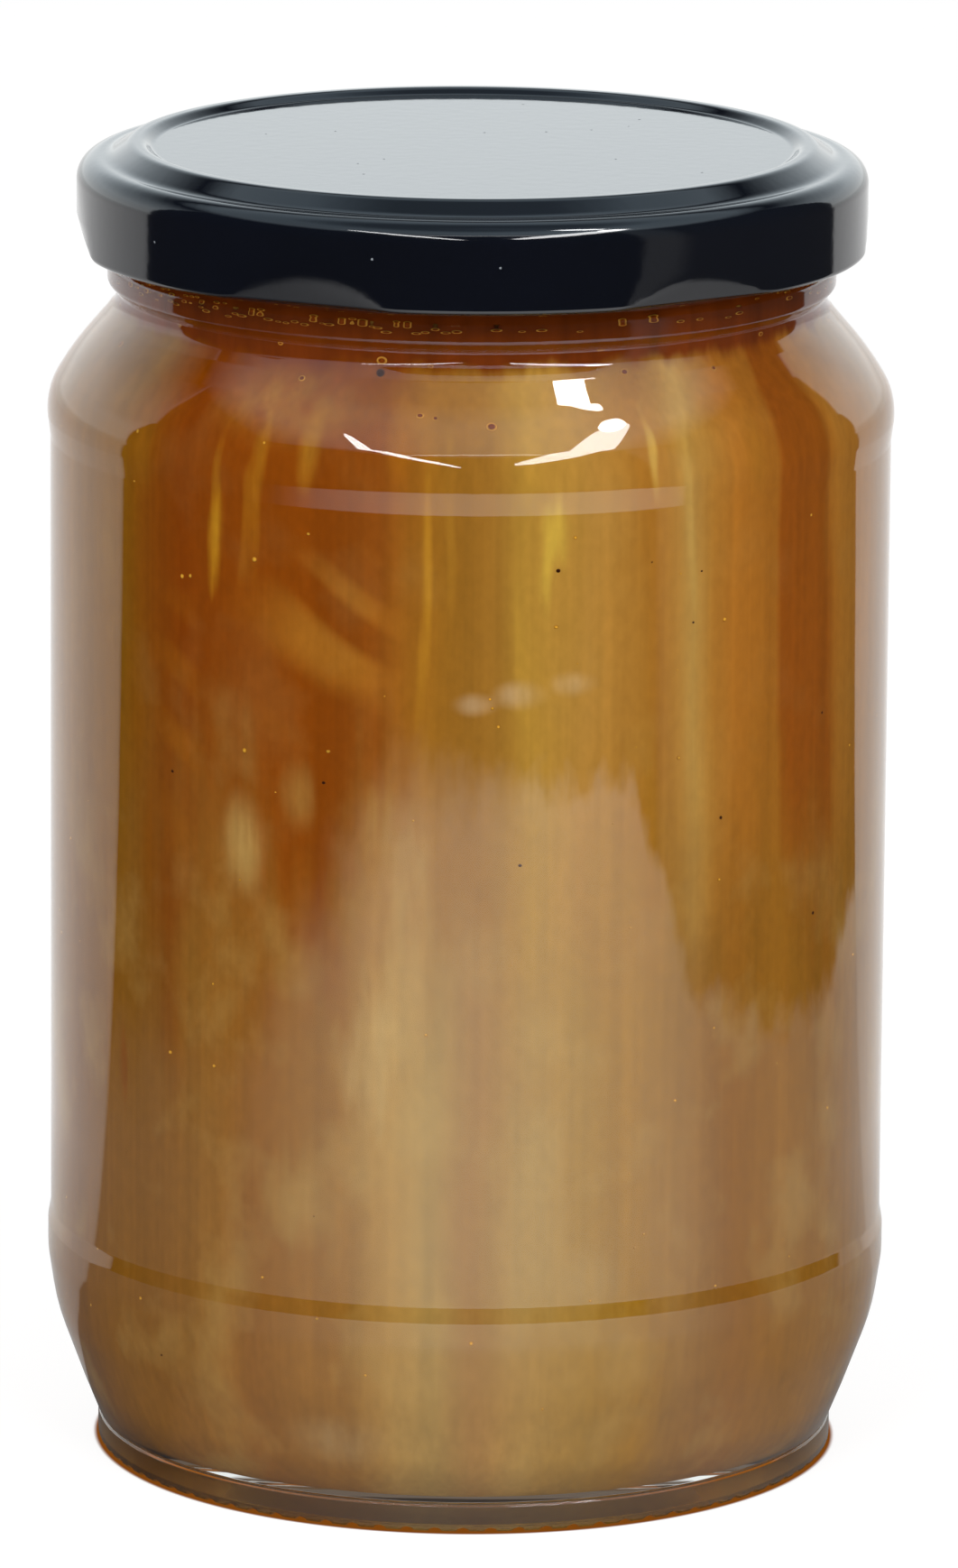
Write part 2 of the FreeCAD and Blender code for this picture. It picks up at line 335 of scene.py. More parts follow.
def makeFloor():
    p = paperLook
    side, low = p["size"], -p["drop"]    # a little under the jar, so the two faces never coincide
    corners = [(-side, -side, low), (side, -side, low), (side, side, low), (-side, side, low)]
    floor = makeMesh("floor", corners, [(0, 1, 2, 3)])
    # matt white paper: white to the eye and in clear glass, keeps a soft shadow
    material, tree = newMaterial("whitePaper")
    place = addNode(tree, "ShaderNodeNewGeometry").outputs["Position"]
    degrees, parts = frontDegrees(tree, place)
    flat = addNode(tree, "ShaderNodeCombineXYZ", {"X": parts.outputs["X"], "Y": parts.outputs["Y"]})
    away = addNode(tree, "ShaderNodeVectorMath", {0: flat.outputs[0]}, operation="LENGTH").outputs["Value"]
    reach = surround["underReach"] * jarSize["footRadius"] * mm
    foot = addNode(tree, "ShaderNodeMath", {0: away, 1: reach}, operation="DIVIDE").outputs[0]
    # to clear glass: painted shadow round the jar and the painted amber light that the honey drops under it
    underShadowAndGlow = addNode(tree, "ShaderNodeValToRGB", {"Fac": foot})
    fillRamp(underShadowAndGlow.color_ramp, [(part, linear(colour)) for part, colour in surround["paintedShadowUnderJar"]])
    toClear = addNode(tree, "ShaderNodeEmission", {"Color": underShadowAndGlow.outputs["Color"]})
    # to the eye: white with a soft shadow, and a painted orange glow in the grooves of the ring
    bare = addNode(tree, "ShaderNodeMapRange", {
        "Value": foot, "From Min": surround["glowEdge"][0], "From Max": surround["glowEdge"][1]},
        interpolation_type="SMOOTHSTEP").outputs[0]
    glow = addNode(tree, "ShaderNodeMix", {0: bare, 6: linear(surround["paintedRingGlow"]), 7: (1, 1, 1, 1)},
                   data_type="RGBA")
    seen = addNode(tree, "ShaderNodeEmission", {"Color": glow.outputs[2], "Strength": p["glow"]})
    grey = addNode(tree, "ShaderNodeMix", {0: bare, 6: (0, 0, 0, 1), 7: (*[p["shaded"]] * 3, 1)},
                   data_type="RGBA")
    shaded = addNode(tree, "ShaderNodeBsdfDiffuse", {"Color": grey.outputs[2]})
    toEye = addNode(tree, "ShaderNodeAddShader", {0: seen.outputs[0], 1: shaded.outputs[0]})
    # to gloss: the sheet and the room, and the painted shade of the paper under the jar
    under = addNode(tree, "ShaderNodeMath", {0: foot, 1: surround["ringShare"]}, operation="LESS_THAN")
    tint = addNode(tree, "ShaderNodeMix", {
        0: under.outputs[0], 6: (1, 1, 1, 1), 7: linear(surround["paintedJarShade"])}, data_type="RGBA")
    power = addNode(tree, "ShaderNodeMix", {
        0: under.outputs[0], 2: paperInGloss(tree, degrees, away), 3: 1.0}, data_type="FLOAT")
    toGloss = addNode(tree, "ShaderNodeEmission", {"Color": tint.outputs[2], "Strength": power.outputs[0]})
    # to all else: plain paper. Refracted rays count as glossy too, so clear glass comes last
    rays = addNode(tree, "ShaderNodeLightPath").outputs
    shader = addNode(tree, "ShaderNodeBsdfDiffuse", {"Color": (*[p["shade"]] * 3, 1)}).outputs[0]
    looks = (("Is Camera Ray", toEye), ("Is Glossy Ray", toGloss), ("Is Transmission Ray", toClear))
    for ray, look in looks:
        mix = addNode(tree, "ShaderNodeMixShader", {0: rays[ray], 1: shader, 2: look.outputs[0]})
        shader = mix.outputs[0]
    addNode(tree, "ShaderNodeOutputMaterial", {"Surface": shader})
    floor.data.materials.append(material)


def makeWorld():
    world = bpy.data.worlds.new("surround")
    bpy.context.scene.world = world
    world.use_nodes = True
    tree = world.node_tree
    tree.nodes.clear()
    direction = addNode(tree, "ShaderNodeTexCoord").outputs["Generated"]
    degrees, parts = frontDegrees(tree, direction)
    lift = parts.outputs["Z"]
    room = directionRamp(tree, degrees, surround["roomLight"])
    ceiling = directionRamp(tree, degrees, surround["overheadLight"], 2.0)
    overhead = addNode(tree, "ShaderNodeValToRGB", {"Fac": lift})
    fillRamp(overhead.color_ramp, [(z, (v, v, v, 1)) for z, v in surround["overhead"]])
    behind = addNode(tree, "ShaderNodeValToRGB", {"Fac": lift})
    fillRamp(behind.color_ramp, [(z, (v, v, v, 1)) for z, v in surround["wallBehind"]])
    # the wall behind counts only where the room is bright
    walls = addNode(tree, "ShaderNodeMapRange", {
        "Value": room, "From Min": 0.4, "From Max": 1.0, "To Min": 0.0, "To Max": 1.0})
    level = addNode(tree, "ShaderNodeMix", {0: walls.outputs[0], 2: room, 3: behind.outputs["Color"]},
                    data_type="FLOAT")
    above = addNode(tree, "ShaderNodeMath", {0: overhead.outputs["Color"], 1: ceiling}, operation="MULTIPLY")
    mirrored = addNode(tree, "ShaderNodeMath", {0: level.outputs[0], 1: above.outputs[0]},
                       operation="MAXIMUM")
    rays = addNode(tree, "ShaderNodeLightPath").outputs
    clear = addNode(tree, "ShaderNodeMath", {0: rays["Is Camera Ray"], 1: rays["Is Transmission Ray"]},
                    operation="MAXIMUM")
    strength = addNode(tree, "ShaderNodeMix", {
        0: rays["Is Glossy Ray"], 2: surround["ambient"], 3: mirrored.outputs[0]}, data_type="FLOAT")
    strength = addNode(tree, "ShaderNodeMix", {0: clear.outputs[0], 2: strength.outputs[0], 3: 1.0},
                       data_type="FLOAT")
    # the room's light from above is a little cold in the gloss
    cold = addNode(tree, "ShaderNodeMix", {0: lift, 6: (0.97, 1.0, 1.0, 1), 7: (0.72, 0.95, 1.12, 1)},
                   data_type="RGBA")
    tint = addNode(tree, "ShaderNodeMix", {0: rays["Is Glossy Ray"], 6: (1, 1, 1, 1), 7: cold.outputs[2]},
                   data_type="RGBA")
    # rays that leave the glass upwards have bounced inside its base, and get the painted dim room
    upward = addNode(tree, "ShaderNodeMath", {0: lift, 1: 0.02}, operation="GREATER_THAN")
    upward = addNode(tree, "ShaderNodeMath", {0: upward.outputs[0], 1: rays["Is Transmission Ray"]},
                     operation="MULTIPLY")
    backdropWithBaseShade = addNode(tree, "ShaderNodeMix", {
        0: upward.outputs[0], 6: (1, 1, 1, 1), 7: linear(surround["paintedShadeThroughBase"])}, data_type="RGBA")
    tint = addNode(tree, "ShaderNodeMix", {0: clear.outputs[0], 6: tint.outputs[2], 7: backdropWithBaseShade.outputs[2]},
                   data_type="RGBA")
    glow = addNode(tree, "ShaderNodeBackground", {"Color": tint.outputs[2], "Strength": strength.outputs[0]})
    addNode(tree, "ShaderNodeOutputWorld", {"Surface": glow.outputs[0]})


def makeStage():
    makeCamera()
    makeFloor()
    makeWorld()
    # two soft lamps light the jar, and the rest only show in its gloss
    makeLamp("keyLeft", (-35, 38, 1.4), (0.8, 0.8), 4.0)
    makeLamp("keyRight", (35, 38, 1.4), (0.8, 0.8), 4.0)
    makeLamp("crescentLeft", (-20, 41, 1.3), (0.98, 0.06), 16.0, -40, True)
    makeLamp("crescentRight", (32, 44, 1.3), (0.98, 0.17), 12.0, 36, True)
    makeLamp("windowHigh", (52, 64, 1.3), (0.09, 0.24), 26.0, 35, True)
    makeLamp("windowLow", (54, 54, 1.3), (0.16, 0.10), 26.0, 10, True)
    makeLamp("stripFront", (4, 46, 1.3), (1.10, 0.03), 4.0, 0, True)
    bpy.context.scene.view_settings.view_transform = "Standard"
    print("stage done")


def glassMaterial():
    # soda-lime glass, moulded and fire-polished: clear, smooth, with a hard even gloss
    material, tree = newMaterial("sodaLimeGlass")
    place = addNode(tree, "ShaderNodeTexCoord").outputs["Object"]
    # faint waviness of moulded glass, about 12 mm long
    wave = addNode(tree, "ShaderNodeTexNoise", {"Vector": place, "Scale": 80.0, "Detail": 1.0})
    bump = addNode(tree, "ShaderNodeBump", {
        "Height": wave.outputs["Fac"], "Strength": 0.02, "Distance": 0.001})
    glass = addNode(tree, "ShaderNodeBsdfPrincipled", {
        "Base Color": linear("#f4f8f5"), "Roughness": 0.0, "IOR": 1.5, "Transmission Weight": 1.0,
        "Normal": bump.outputs["Normal"]})
    # light reaches the honey straight through the glass
    rays = addNode(tree, "ShaderNodeLightPath").outputs
    lit = addNode(tree, "ShaderNodeMath", {0: rays["Is Shadow Ray"], 1: rays["Is Diffuse Ray"]},
                  operation="MAXIMUM")
    through = addNode(tree, "ShaderNodeBsdfTransparent", {"Color": (0.96, 0.96, 0.96, 1)})
    mix = addNode(tree, "ShaderNodeMixShader", {
        0: lit.outputs[0], 1: glass.outputs[0], 2: through.outputs[0]})
    addNode(tree, "ShaderNodeOutputMaterial", {"Surface": mix.outputs[0]})
    return material


def makeJar():
    s = jarSize
    bulge = s["panelRadius"] + s["bulgeProud"]
    inner = s["footRadius"] - s["bearingWidth"]
    outside = [
        (0, s["pushUp"], 0),
        (inner - s["pushUp"], s["pushUp"], 2.0),
        (inner, 0, 0.6),
        (s["footRadius"] - s["knurlReach"], 0, 0),
        (s["footRadius"] - 0.75, 0, 0),
        (s["footRadius"], 0, 0.45),
        (s["footRadius"], 0.9, 0),
        (s["footRadius"], s["bandTop"] - s["bandGroove"], 0.2),
        (s["footRadius"] - s["bandGroove"], s["bandTop"], 0.15),
        (s["footRadius"], s["bandTop"] + s["bandGroove"], 0.3),
        (s["footRadius"] + s["heelFlare"], s["heelLow"], 9.0),
        (bulge - s["heelInset"], s["heelHigh"], 22.0),
        (bulge, s["heelFoot"], 9.0),
        (bulge, s["heelTop"], 1.5),
        (s["panelRadius"], s["panelFoot"], 1.5),
        (s["panelRadius"], s["panelTop"], 1.5),
        (bulge, s["shoulderFoot"], 1.5),
        (bulge, s["shoulderTop"] + 0.5, 7.0),
        (bulge - s["domeInset"], s["coneFoot"] + 1.6, 29.0),
        (s["neckRadius"] + s["neckFlare"], s["coneTop"], 1.6),
        (s["neckRadius"], s["coneTop"] + 1.65, 2.0),
        (s["neckRadius"], s["beadFoot"] - 0.6, 0.5),
        (s["beadRadius"], s["beadFoot"] + 0.5, 0.8),
        (s["beadRadius"], s["finishFoot"] - 0.5, 0.8),
        (s["neckRadius"] + 0.4, s["finishFoot"] + 0.4, 0.3),
        (s["neckRadius"] + 0.4, s["finishFoot"] + 1.6, 0.3),
        (s["finishRadius"], s["finishFoot"] + 3.0, 0.5),
        (s["finishRadius"], rimHeight, 0.45),
    ]
    outline = roundedOutline(outside + insideCorners(0, rimHeight)[::-1])

    def knurl(r, z, angle):
        # grooves across the outer edge of the standing ring
        if z > s["knurlRadius"] or r < s["footRadius"] - s["knurlReach"] - 0.01:
            return r, z
        pitch = math.tau / s["knurls"]
        across = ((angle + pitch / 2) % pitch - pitch / 2) * r
        depth = math.sqrt(max(s["knurlRadius"] ** 2 - across ** 2, 0)) - s["knurlRadius"] / 3
        return r, max(z, depth)

    jar = lathe("glassJar", outline, s["knurls"] * s["knurlSteps"], knurl)
    jar.data.materials.append(glassMaterial())
    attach(jar, "root")
    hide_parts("jar")
    print("jar done")


honeyLook = dict(
    # colours round the jar, in degrees from the front: upper part, clear and amber
    upper=[(-180, "#7d3d08"), (-150, "#a06a22"), (-120, "#7c3a05"), (-95, "#9a641c"), (-70, "#845a22"),
           (-57, "#7f5208"), (-49, "#804508"), (-42, "#7a3703"), (-37, "#7b3a05"), (-27, "#833f05"),
           (-20, "#803e06"), (-12, "#7f4410"), (-5, "#93601a"), (5, "#966724"), (10, "#ac8030"),
           (17, "#a97a34"), (25, "#9b6520"), (29, "#a9752a"), (32, "#b68a3f"), (36, "#a46e28"),
           (40, "#a4661f"), (49.4, "#9c5f1a"), (50.4, "#8f4a0b"), (59, "#8f4c0a"), (61, "#a66a20"),
           (75, "#8f6020"), (95, "#9c6a24"), (120, "#7a3904"), (150, "#a5762e"), (180, "#7d3d08")],
    # lower part, paler where fine crystals cloud it
    lower=[(-180, "#94662a"), (-130, "#7e4c18"), (-95, "#96682a"), (-70, "#74480c"), (-57, "#7f5214"),
           (-47, "#83561f"), (-37, "#875a20"), (-32, "#8a581e"), (-20, "#8e6022"), (-12, "#a47c3c"),
           (-5, "#9e7c40"), (2, "#9b7039"), (10, "#a17a3a"), (17, "#a1782f"), (25, "#9a6c1c"),
           (32, "#8f6428"), (40, "#8c5a1a"), (50, "#8f5e18"), (60, "#8f5f18"), (70, "#85580f"),
           (95, "#9a6c28"), (130, "#7e4c18"), (180, "#94662a")],
    change=(50.0, 88.0),     # height over which lower gives way to upper, mm
    neck="#6c2e0a",          # clear dark honey in the neck, darkened further by painted shade under the lid, and the heights over which it begins, mm
    neckFrom=(122.9, 125.6),
    broadStreak=5.0,         # widths of the upright streaks, mm
    fineStreak=0.9,
    hairStreak=0.35,
    crystal=0.5,             # grain of the clouding, mm
    cloud="#b39050",
    cloudAmount=(0.32, 0.08),   # low down and high up
    # placed streaks, clouds and wisps: direction, height, half width in degrees, half height in mm,
    # colour and amount
    patches=[(-34.5, 109, 1.7, 15, "#b9831c", 0.85), (-30.5, 112, 1.2, 10, "#a87018", 0.5),
             (-6.0, 99, 1.3, 16, "#b07a20", 0.7), (-2.5, 106, 1.0, 12, "#a87423", 0.6),
             (13.0, 113, 1.6, 9, "#c8a23e", 0.8), (9.0, 100, 1.4, 14, "#bb8e34", 0.5),
             (32.0, 108, 1.5, 14, "#c29a4c", 0.6), (26.0, 116, 1.0, 6, "#c39a45", 0.6),
             (-31, 74, 4.5, 7, "#b89454", 0.7), (-24, 80, 3.0, 5, "#a27a3a", 0.5),
             (-14, 52, 8.0, 11, "#b5945a", 0.6), (-8, 62, 3.5, 14, "#ae8a4e", 0.5),
             (10, 40, 7.0, 12, "#a98a50", 0.5), (-25, 36, 8.0, 9, "#a07a3c", 0.45),
             (2, 90.5, 4.5, 1.6, "#cdae86", 0.4), (8.5, 91.5, 4.5, 2.0, "#cdae86", 0.45),
             (15, 92.5, 3.0, 1.7, "#cfae80", 0.4),
             (-56.5, 47, 1.3, 6, "#7c3c08", 0.9), (-44, 60, 2.0, 22, "#70390a", 0.45),
             (-20, 10, 9.0, 4, "#a3855a", 0.4), (18, 28, 6.0, 5, "#b08f58", 0.5),
             (-27, 120, 15.0, 5, "#9a6420", 0.7), (-6, 120, 13.0, 5, "#a06a22", 0.55),
             (-10, 117, 3.0, 4, "#96590f", 0.6), (-24, 116, 2.4, 5, "#a8731f", 0.6),
             (-50, 115, 5.0, 7, "#8c5a10", 0.6), (45, 115, 4.0, 6, "#98641c", 0.5),
             (170, 80, 6.0, 14, "#b5945a", 0.5), (140, 60, 7.0, 10, "#b08a4c", 0.5),
             (-140, 86, 5.0, 12, "#b89454", 0.5), (-160, 48, 8.0, 12, "#a98a50", 0.5),
             (105, 72, 5.0, 16, "#b08f58", 0.5), (-100, 90, 3.0, 18, "#b07a20", 0.5)],
    # slow swirls, in the same order
    swirls=[(-20, 96, 15, 13, "#a5691f", 0.75), (-42, 86, 8, 22, "#94560f", 0.4),
            (160, 100, 18, 14, "#a5691f", 0.6), (-120, 92, 16, 15, "#a0651c", 0.6),
            (95, 98, 14, 12, "#a5691f", 0.6)],
)


def azimuthColour(tree, degrees, stops):
    # a colour that depends on the direction round the jar
    share = addNode(tree, "ShaderNodeMath", {0: degrees, 1: 1 / 360, 2: 0.5}, operation="MULTIPLY_ADD")
    ramp = addNode(tree, "ShaderNodeValToRGB", {"Fac": share.outputs[0]})
    fillRamp(ramp.color_ramp, [((angle + 180) / 360, linear(colour)) for angle, colour in stops])
    return ramp.outputs["Color"]


def stretchedNoise(tree, place, width, height, detail, low, high):
    # noise whose features are width mm across and height mm tall, spread from low to high
    scale = (1000 / width / 2, 1000 / width / 2, 1000 / height / 2)
    stretched = addNode(tree, "ShaderNodeMapping", {"Vector": place, "Scale": scale})
    noise = addNode(tree, "ShaderNodeTexNoise", {
        "Vector": stretched.outputs[0], "Scale": 1.0, "Detail": detail})
    spread = addNode(tree, "ShaderNodeMapRange", {
        "Value": noise.outputs["Fac"], "From Min": 0.28, "From Max": 0.72, "To Min": low, "To Max": high})
    return spread.outputs[0]


def placedMask(tree, around, height, patch, amount):
    # soft oval at a direction and height; amount is a socket that breaks it up
    direction, middle, halfWidth, halfHeight, _, most = patch
    across = addNode(tree, "ShaderNodeMath", {0: around, 1: direction}, operation="SUBTRACT")
    across = addNode(tree, "ShaderNodeMath", {0: across.outputs[0], 1: halfWidth}, operation="DIVIDE")
    along = addNode(tree, "ShaderNodeMath", {0: height, 1: middle}, operation="SUBTRACT")
    along = addNode(tree, "ShaderNodeMath", {0: along.outputs[0], 1: halfHeight}, operation="DIVIDE")
    both = addNode(tree, "ShaderNodeCombineXYZ", {"X": across.outputs[0], "Y": along.outputs[0]})
    away = addNode(tree, "ShaderNodeVectorMath", {0: both.outputs[0]}, operation="LENGTH").outputs["Value"]
    oval = addNode(tree, "ShaderNodeMapRange", {
        "Value": away, "From Min": 0.15, "From Max": 1.0, "To Min": most, "To Max": 0.0},
        interpolation_type="SMOOTHSTEP")
    mask = addNode(tree, "ShaderNodeMath", {0: oval.outputs[0], 1: amount}, operation="MULTIPLY")
    return mask.outputs[0]


def honeyMaterial():
    # honey part set and part liquid: amber, clouded by fine crystals, streaked where it was poured
    material, tree = newMaterial("cloudedHoney")
    look = honeyLook
    place = addNode(tree, "ShaderNodeTexCoord").outputs["Object"]
    degrees, parts = frontDegrees(tree, place)
    height = addNode(tree, "ShaderNodeMath", {0: parts.outputs["Z"], 1: 1 / mm}, operation="MULTIPLY")
    height = height.outputs[0]
    # slow sideways drift of the upright bands
    wander = stretchedNoise(tree, place, 9, 36, 2.0, -3.0, 3.0)
    shiver = stretchedNoise(tree, place, 2.0, 14, 3.0, -0.7, 0.7)
    wander = addNode(tree, "ShaderNodeMath", {0: wander, 1: shiver}, operation="ADD").outputs[0]
    bent = addNode(tree, "ShaderNodeMath", {0: degrees, 1: wander}, operation="ADD").outputs[0]
    upper = azimuthColour(tree, bent, look["upper"])
    lower = azimuthColour(tree, bent, look["lower"])
    # ragged change from lower to upper
    slow = stretchedNoise(tree, place, 7, 18, 3.0, -14.0, 14.0)
    quick = stretchedNoise(tree, place, 1.2, 9, 3.0, -5.0, 5.0)
    shift = addNode(tree, "ShaderNodeMath", {0: slow, 1: quick}, operation="ADD").outputs[0]
    raised = addNode(tree, "ShaderNodeMath", {0: height, 1: shift}, operation="ADD").outputs[0]
    change = addNode(tree, "ShaderNodeMapRange", {
        "Value": raised, "From Min": look["change"][0], "From Max": look["change"][1]},
        interpolation_type="SMOOTHSTEP").outputs[0]
    body = addNode(tree, "ShaderNodeMix", {0: change, 6: lower, 7: upper}, data_type="RGBA").outputs[2]
    # swirls: bent rings seen edge on
    twist = addNode(tree, "ShaderNodeTexNoise", {"Vector": place, "Scale": 28.0, "Detail": 2.0})
    lean = addNode(tree, "ShaderNodeMath", {0: twist.outputs["Fac"], 1: 34.0}, operation="MULTIPLY")
    curl = addNode(tree, "ShaderNodeMath", {0: height, 1: lean.outputs[0]}, operation="ADD")
    curl = addNode(tree, "ShaderNodeMath", {0: degrees, 1: 0.35, 2: curl.outputs[0]},
                   operation="MULTIPLY_ADD")
    ripple = addNode(tree, "ShaderNodeMath", {0: curl.outputs[0], 1: 0.75}, operation="MULTIPLY")
    ripple = addNode(tree, "ShaderNodeMath", {0: ripple.outputs[0]}, operation="SINE")
    ripple = addNode(tree, "ShaderNodeMapRange", {
        "Value": ripple.outputs[0], "From Min": -0.5, "From Max": 1.0},
        interpolation_type="SMOOTHSTEP").outputs[0]
    # placed streaks and clouds are broken up by an upright grain, and the tall ones rise and fall
    broken = stretchedNoise(tree, place, 1.3, 10, 3.0, 0.35, 1.25)
    tall = 7                 # half height in mm
    placed = [(swirl, height, ripple) for swirl in look["swirls"]]
    placed += [(patch, raised if patch[3] > tall else height, broken) for patch in look["patches"]]
    for patch, level, breakUp in placed:
        mask = placedMask(tree, bent, level, patch, breakUp)
        mix = addNode(tree, "ShaderNodeMix", {0: mask, 6: body, 7: linear(patch[4])}, data_type="RGBA")
        body = mix.outputs[2]
    # upright streaks of three widths
    broad = stretchedNoise(tree, place, look["broadStreak"], 60, 2.0, 0.88, 1.12)
    fine = stretchedNoise(tree, place, look["fineStreak"], 40, 2.0, 0.94, 1.07)
    hair = stretchedNoise(tree, place, look["hairStreak"], 30, 1.0, 0.97, 1.04)
    for streak in (broad, fine, hair):
        mix = addNode(tree, "ShaderNodeMix", {0: 1.0, 6: body, 7: streak},
                      data_type="RGBA", blend_type="MULTIPLY")
        body = mix.outputs[2]
    # clouding by crystals: soft mottle and a fine grain, stronger low down
    mottle = stretchedNoise(tree, place, 5.0, 6.0, 5.0, -1.0, 1.0)
    lowDown, highUp = look["cloudAmount"]
    most = addNode(tree, "ShaderNodeMapRange", {"Value": change, "To Min": lowDown, "To Max": highUp})
    mottle = addNode(tree, "ShaderNodeMapRange", {
        "Value": mottle, "From Min": 0.1, "From Max": 0.9, "To Min": 0.0, "To Max": most.outputs[0]})
    body = addNode(tree, "ShaderNodeMix", {0: mottle.outputs[0], 6: body, 7: linear(look["cloud"])},
                   data_type="RGBA").outputs[2]
    grain = stretchedNoise(tree, place, look["crystal"], look["crystal"] * 1.6, 2.0, 0.95, 1.06)
    body = addNode(tree, "ShaderNodeMix", {0: 1.0, 6: body, 7: grain},
                   data_type="RGBA", blend_type="MULTIPLY").outputs[2]
    # clear dark honey in the neck with painted shade of the lid over it, with a ragged lower edge
    wisps = stretchedNoise(tree, place, 1.6, 9, 3.0, -1.1, 1.1)
    neckPlace = addNode(tree, "ShaderNodeMath", {0: height, 1: wisps}, operation="ADD").outputs[0]
    top = addNode(tree, "ShaderNodeMapRange", {
        "Value": neckPlace, "From Min": look["neckFrom"][0], "From Max": look["neckFrom"][1]},
        interpolation_type="SMOOTHSTEP")
    upright = stretchedNoise(tree, place, 1.1, 30, 3.0, 0.75, 1.25)
    neck = addNode(tree, "ShaderNodeMix", {0: 1.0, 6: linear(look["neck"]), 7: upright},
                   data_type="RGBA", blend_type="MULTIPLY")
    body = addNode(tree, "ShaderNodeMix", {0: top.outputs[0], 6: body, 7: neck.outputs[2]},
                   data_type="RGBA").outputs[2]
    honey = addNode(tree, "ShaderNodeBsdfPrincipled", {
        "Base Color": body, "Roughness": 0.35, "IOR": 1.49, "Specular IOR Level": 0.0})
    addNode(tree, "ShaderNodeOutputMaterial", {"Surface": honey.outputs[0]})
    return material


def honeyOutline():
    into = 0.12              # mm that the honey reaches into the glass, so no gap shows
    corners = insideCorners(into, honeyTop)
    corners[-1] = (corners[-1][0], honeyTop, 0)
    return roundedOutline(corners + [(0, honeyTop, 0)])


def makeHoney():
    segments = 288
    honey = lathe("honeyFill", honeyOutline(), segments)
    honey.data.materials.append(honeyMaterial())
    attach(honey, "root")
    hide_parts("honey")
    print("honey done")


# sizes and places in mm; a placed spot is a direction in degrees, a height and a radius
spotSize = dict(
    ringHeight=(128.4, 129.2),   # row of bubbles under the lid
    ringRadius=(0.30, 0.70),
    squash=0.30,                 # height of the bubbles behind the bead, which stretches them upright
    squashFrom=127.0,
    strays=34,                   # bubbles below that row
    strayHeight=(121.5, 128.0),
    strayRadius=(0.20, 0.50),
    placedBubbles=[(3.0, 118.9, 0.62), (-14.5, 125.2, 0.55), (-7.5, 119.8, 0.4), (-5.2, 119.6, 0.35)],
    bubbleFlat=0.35,             # thickness as a share of the radius
    dots=150,
    dotHeight=(12, 118),
    dotRadius=(0.10, 0.26),
    placedDots=[(-43.5, 101.5, 0.28), (-42.0, 101.7, 0.24), (-31.0, 104.5, 0.3), (-32.5, 84, 0.3)],
    dotFlat=0.6,
    specks=40,
    speckHeight=(14, 118),
    speckRadius=(0.084, 0.21),
    placedSpecks=[(12.2, 104.6, 0.24), (-20.3, 81.5, 0.2), (56.5, 64.0, 0.22), (-14.6, 123.6, 0.55)],
    speckFlat=0.3,
)


def honeySkin(height):
    # radius and outward slope of the honey at a height
    skin = [(r, z) for r, z in honeyOutline() if r > 30]
    for (r1, z1), (r2, z2) in zip(skin, skin[1:]):
        if z1 <= height <= z2 and z2 > z1:
            share = (height - z1) / (z2 - z1)
            return r1 + (r2 - r1) * share, math.atan2(r1 - r2, z2 - z1)
    return skin[-1][0], 0.0


def makeSpots(name, spots, flat, material, steps, sides):
    # low domes on the honey's skin, each a direction, height and radius; flat is a dome's height as a share
    vertices, faces, rims = [], [], []
    for direction, height, radius in spots:
        skin, slope = honeySkin(height)
        angle = math.radians(direction)
        level = math.cos(slope)
        outward = Vector((math.sin(angle) * level, -math.cos(angle) * level, math.sin(slope)))
        side = Vector((math.cos(angle), math.sin(angle), 0))
        upward = outward.cross(side) * -1
        centre = Vector((skin * math.sin(angle), -skin * math.cos(angle), height)) - outward * 0.02
        wide = radius * seed.uniform(0.9, 1.15)
        squash = spotSize["squash"] if height > spotSize["squashFrom"] else 0.9
        tall = radius * seed.uniform(0.85, 1.15) * squash
        first = len(vertices)
        vertices.append(centre + outward * radius * flat)
        rims.append(0.0)
        for step in range(1, steps + 1):
            reach = math.sin(math.pi / 2 * step / steps)
            rise = math.cos(math.pi / 2 * step / steps) * radius * flat
            for number in range(sides):
                turn = math.tau * number / sides
                away = side * wide * math.cos(turn) + upward * tall * math.sin(turn)
                vertices.append(centre + away * reach + outward * rise)
                rims.append(reach)
        for number in range(sides):
            after = (number + 1) % sides
            faces.append((first, first + 1 + number, first + 1 + after))
            for step in range(steps - 1):
                low = first + 1 + step * sides
                faces.append((low + number, low + sides + number, low + sides + after, low + after))
    piece = makeMesh(name, vertices, faces)
    layer = piece.data.color_attributes.new("rim", "FLOAT_COLOR", "POINT")
    for value, rim in zip(layer.data, rims):
        value.color = (rim, rim, rim, 1)
    piece.data.materials.append(material)
    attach(piece, "root")


def spotMaterial(name, stops, variety):
    # air or wax sunk in the honey against the glass; the colour runs from its middle to its rim
    material, tree = newMaterial(name)
    rim = addNode(tree, "ShaderNodeAttribute", attribute_name="rim")
    ramp = addNode(tree, "ShaderNodeValToRGB", {"Fac": rim.outputs["Fac"]})
    fillRamp(ramp.color_ramp, [(part, linear(colour)) for part, colour in stops])
    place = addNode(tree, "ShaderNodeTexCoord").outputs["Object"]
    uneven = stretchedNoise(tree, place, 0.5, 0.5, 2.0, 1 - variety, 1 + variety)
    colour = addNode(tree, "ShaderNodeMix", {0: 1.0, 6: ramp.outputs["Color"], 7: uneven},
                     data_type="RGBA", blend_type="MULTIPLY").outputs[2]
    skin = addNode(tree, "ShaderNodeBsdfPrincipled", {
        "Base Color": colour, "Roughness": 0.3, "Specular IOR Level": 0.0})
    addNode(tree, "ShaderNodeOutputMaterial", {"Surface": skin.outputs[0]})
    return material


def scattered(count, heights, radii):
    # spots spread at random round the jar
    spots = []
    for number in range(count):
        direction = seed.uniform(-180, 180)
        height = seed.uniform(*heights)
        spots.append((direction, height, seed.uniform(*radii)))
    return spots


